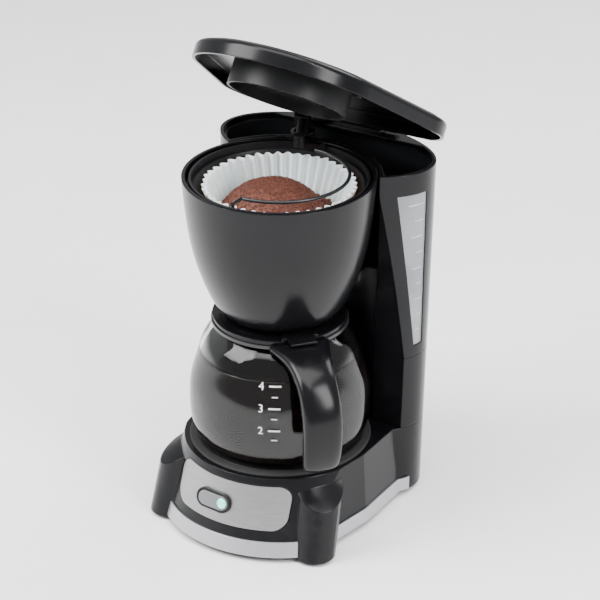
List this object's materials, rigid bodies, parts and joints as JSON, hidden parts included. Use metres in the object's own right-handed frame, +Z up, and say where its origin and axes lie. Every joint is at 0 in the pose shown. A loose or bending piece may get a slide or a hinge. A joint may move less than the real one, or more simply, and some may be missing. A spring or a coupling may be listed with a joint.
{
  "type": "drip coffee maker",
  "caption": "Small drip coffee maker with an open lid, paper filter, glass carafe on a warming plate and a rear water tank with a level window.",
  "frame": {"origin": "centre of the whole box on the table, lid open, carafe in place", "axes": "+Z up, -Y towards the user, +X to the right seen from the front"},
  "size_m": [0.167, 0.1903, 0.3487],
  "materials": {
    "black_plastic": "satin black moulded plastic",
    "inner_plastic": "matt black moulded plastic",
    "rubber": "soft matt rubber",
    "steel": "plain zinc-plated steel",
    "dark_steel": "black coated steel",
    "brushed": "brushed, clear coated",
    "trim": "satin silver",
    "plate": "non-stick coated dark grey",
    "cast": "rough cast",
    "rocker": "grey gloss",
    "lens": "green translucent",
    "window": "frosted clear",
    "tank": "milky translucent",
    "silicone": "milky silicone",
    "glass": "clear",
    "paper": "crinkled filter paper",
    "coffee": "ground coffee",
    "ceramic": "heat-proof moulding"
  },
  "bodies": {
    "machine": {"base_shell": "black_plastic", "column_shell": "black_plastic", "tower_shell": "black_plastic", "brew_bowl": "black_plastic", "bottom_cover": "inner_plastic", "rear_cover": "inner_plastic", "filter_basket": "inner_plastic", "water_spout": "inner_plastic", "switch_bezel": "inner_plastic", "switch_body": "inner_plastic", "tank_outlet": "inner_plastic", "check_valve": "inner_plastic", "riser_tube": "inner_plastic", "cord_gland": "inner_plastic", "rubber_feet": "rubber", "valve_seal": "rubber", "plate_seal": "rubber", "base_screws": "steel", "cover_screws": "steel", "lid_hinge_pin": "steel", "valve_spring": "steel", "heater_clamp": "steel", "thermostat": "steel", "thermal_fuse": "steel", "hose_clamps": "steel", "control_panel": "brushed", "front_trim": "trim", "left_trim": "trim", "right_trim": "trim", "basket_bail": "dark_steel", "warming_plate": "plate", "heating_tube": "cast", "heat_spreader": "cast", "water_window": "window", "reservoir_tank": "tank", "cold_hose": "silicone", "hot_hose": "silicone", "paper_filter": "paper", "coffee_grounds": "coffee", "terminal_block": "ceramic"},
    "lid": {"lid_shell": "black_plastic", "shower_ring": "inner_plastic", "ring_screws": "steel"},
    "carafe": {"carafe_glass": "glass", "carafe_shoulder": "glass", "carafe_collar": "black_plastic", "carafe_band": "dark_steel", "carafe_lid": "black_plastic", "carafe_lid_pin": "steel", "carafe_handle": "black_plastic", "handle_screw": "steel"},
    "switch": {"switch_rocker": "rocker", "switch_lens": "lens"},
    "valve": {"drip_valve": "inner_plastic"}
  },
  "joints": [
    {"name": "lid_hinge", "type": "hinge", "parent": "machine", "child": "lid", "pos_m": [0, 0.0869, 0.2525], "axis": [-1, 0, 0], "range_deg": [-34, 56]},
    {"name": "carafe_slide", "type": "slide", "parent": "machine", "child": "carafe", "axis": [0, -1, 0], "range_m": [0, 0.2]},
    {"name": "switch_rock", "type": "hinge", "parent": "machine", "child": "switch", "pos_m": [-0.00821, -0.08412, 0.034], "axis": [0.0334, 0.2934, 0.9554], "range_deg": [-7, 0]},
    {"name": "valve_lift", "type": "slide", "parent": "machine", "child": "valve", "axis": [0, 0, -1], "range_m": [0, 0.0025], "deforming": ["valve_spring"]}
  ],
  "couplings": [
    {"joint": "valve_lift", "follows": "carafe_slide", "ratio": 0.0125}
  ]
}
